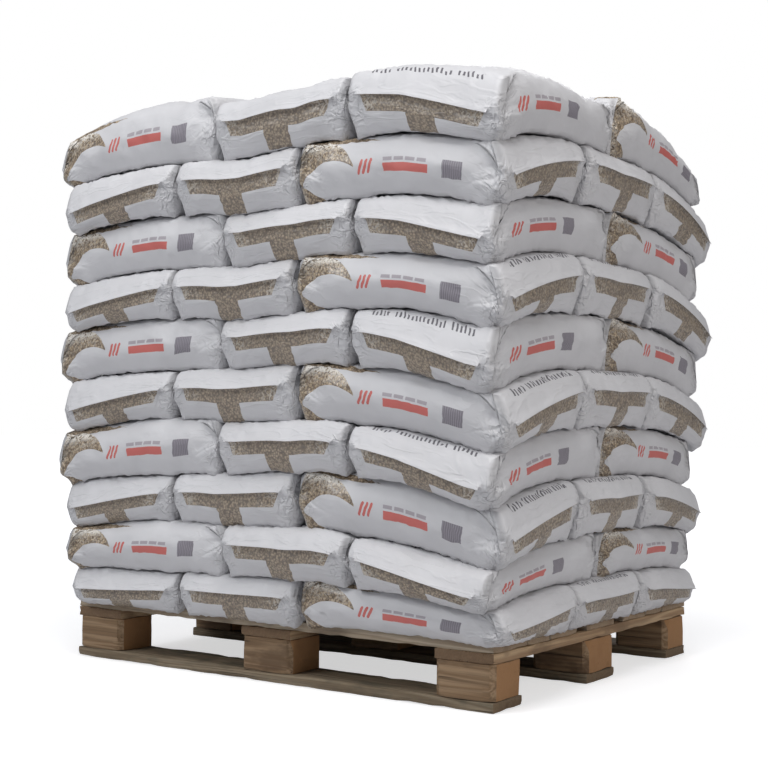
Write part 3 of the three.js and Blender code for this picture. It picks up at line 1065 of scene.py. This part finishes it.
def heights_in_stack(index, number, turn, lengthwise, share_up, world_x, world_y):
    """Heights of a bag's points between the bed under it and the one over it. A top bag falls off freely."""
    lower = bed(index, world_x, world_y)
    if index < len(LAYER_HEIGHTS) - 1:
        upper = bed(index + 1, world_x, world_y) - BED_GAP
        return lower + share_up * (upper - lower)
    end, start, fall, power = TOP_FALLS[0 if turn == 0 else 1 if turn < 0 else 2]
    past_start = np.maximum(end * lengthwise / half_length + start, 0) / (1 + start)
    return lower + share_up * TOP_HEIGHTS[number - 1] * (1 - fall * past_start ** power)


def lay_bag(name, pattern, index, number, place, dice):
    """Copies a filled bag into the stack: turned, pressed on its neighbours and bedded on the layer below."""
    x, y, turn = place
    bag = pattern.copy()
    bag.data = pattern.data.copy()
    bag.name = bag.data.name = name
    bpy.context.scene.collection.objects.link(bag)
    points = points_of(bag)
    swell = 1 + dice.uniform(-SWELL_SPREAD, SWELL_SPREAD, 2)
    angle = turn + dice.uniform(-TURN_SPREAD, TURN_SPREAD)
    wobble = dice.uniform(-SHIFT_SPREAD, SHIFT_SPREAD, 2)
    lengthwise, sidewise = points[:, 0] * swell[0], points[:, 1] * swell[1]
    if turn:
        lengthwise, sidewise = rounded_end(lengthwise, sidewise)
    local_x = lengthwise * math.cos(angle) - sidewise * math.sin(angle) + wobble[0]
    local_y = lengthwise * math.sin(angle) + sidewise * math.cos(angle) + wobble[1]

    half_x, half_y = PITCH_WIDTH / 2, PITCH_LENGTH / 2
    outer_x, outer_y, row_y = PITCH_LENGTH / 2 + PITCH_WIDTH, PITCH_LENGTH, -ROW_SHIFT
    if not turn:
        half_x, half_y, outer_y, row_y = half_y, half_x, 1.5 * PITCH_WIDTH, ROW_SHIFT
    layer_x = pressed_between(local_x, x, half_x, outer_x) + x
    layer_y = pressed_between(local_y, y - row_y, half_y, outer_y) + y - row_y
    bottom, top = np.percentile(points[:, 2], REST_PERCENTILES)
    share_up = (points[:, 2] - bottom) / (top - bottom)
    off_corner = np.hypot(outer_x - np.abs(layer_x), outer_y - np.abs(layer_y))
    layer_x, layer_y = rounded_free_corners(layer_x, layer_y, outer_x, outer_y, share_up, index)
    world_x = layer_x * LAYER_SPREADS[index][0] + LAYER_SHIFTS[index][0]
    world_y = (layer_y + row_y) * LAYER_SPREADS[index][1] + LAYER_SHIFTS[index][1]
    if index == len(LAYER_HEIGHTS) - 1:
        world_x = world_x + np.interp(world_x, SLIDE_PLACES, SLIDES)

    # Toward a free corner of the stack the weld hangs lower.
    inside = np.clip(share_up, 0, 1)
    at_end = np.clip(1 - (half_length - np.abs(points[:, 0])) / SLIP_REACH, 0, 1)
    near_corner = np.clip(1 - off_corner / CORNER_REACH, 0, 1)
    share_up -= CORNER_SLIP * near_corner * at_end * 4 * inside * (1 - inside)
    world_z = heights_in_stack(index, number, turn, points[:, 0], share_up, world_x, world_y)
    bag.data.vertices.foreach_set("co", np.stack([world_x, world_y, world_z], 1).astype(np.float32).ravel())
    store(bag, "grain", points + dice.uniform(-20, 20, 3))
    store(bag, "slip", np.full(len(points), PRINT_SLIPS.get((index + 1, number), USUAL_SLIP)))
    bag.data.materials.append(film_material)
    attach(bag, "root")
    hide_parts(f"sack_layer_{index + 1:02d}")


dice = np.random.default_rng(7)
for index in range(len(LAYER_HEIGHTS)):
    patterns = top_patterns if index == len(LAYER_HEIGHTS) - 1 else pressed_patterns
    for number, place in enumerate(layer_places(layer_facing(index)), start=1):
        pattern = patterns[dice.integers(len(patterns))]
        lay_bag(f"sack_{index + 1:02d}_{number}", pattern, index, number, place, dice)
for pattern in pressed_patterns + top_patterns:
    bpy.data.objects.remove(pattern)


# A plain pale floor and soft studio light, most of it from above and from the left of the camera. To the
# camera itself the floor and the air behind it shine, so that they stay nearly white.
deselect_all()
bpy.ops.mesh.primitive_plane_add(size=60, location=(0, 0, -0.0006))
floor = bpy.context.object
floor.name = "floor"
floor_material, paint, shader = blank_material("pale_floor")
shader.inputs["Base Color"].default_value = tone(206, 206, 208)
shader.inputs["Roughness"].default_value = 0.9
spot = paint.node("TexCoord", output=3)
far_off = spot.node("VectorMath", {"operation": "LENGTH"}, {0: spot}, output=1).ease(1.5, 5.0)
connect(shader, {"Emission Color": paint.node("LightPath") * (far_off * 0.4 + 0.6)})
shader.inputs["Emission Strength"].default_value = 1.0
floor.data.materials.append(floor_material)


def soft_light(name, place, aim, width, power, color):
    light = bpy.data.lights.new(name, "AREA")
    light.shape = "DISK"
    light.size = width
    light.energy = power
    light.color = color
    lamp = bpy.data.objects.new(name, light)
    lamp.location = place
    lamp.rotation_euler = (Vector(aim) - Vector(place)).to_track_quat("-Z", "Y").to_euler()
    bpy.context.scene.collection.objects.link(lamp)


soft_light("key_light", (-2.0, -4.2, 3.4), (0, 0, 0.7), 2.4, 76, (0.97, 0.985, 1.0))
soft_light("near_top_light", (1.0, -1.8, 4.8), (0, 0, 0.7), 2.6, 128, (1.0, 1.0, 1.0))
soft_light("fill_light", (4.8, -0.4, 2.4), (0, 0, 0.6), 2.0, 44, (1.0, 0.94, 0.87))
soft_light("back_light", (-1.5, 4.8, 3.2), (0, 0, 0.7), 2.6, 60, (1.0, 1.0, 1.0))

world = bpy.data.worlds.new("studio")
world.use_nodes = True
bpy.context.scene.world = world
sky = Paint(world.node_tree).node("LightPath").blend((0.22, 0.23, 0.25, 1), (1, 1, 1, 1))
connect(world.node_tree.nodes["Background"], {"Color": sky})
bpy.context.scene.view_settings.view_transform = "Standard"
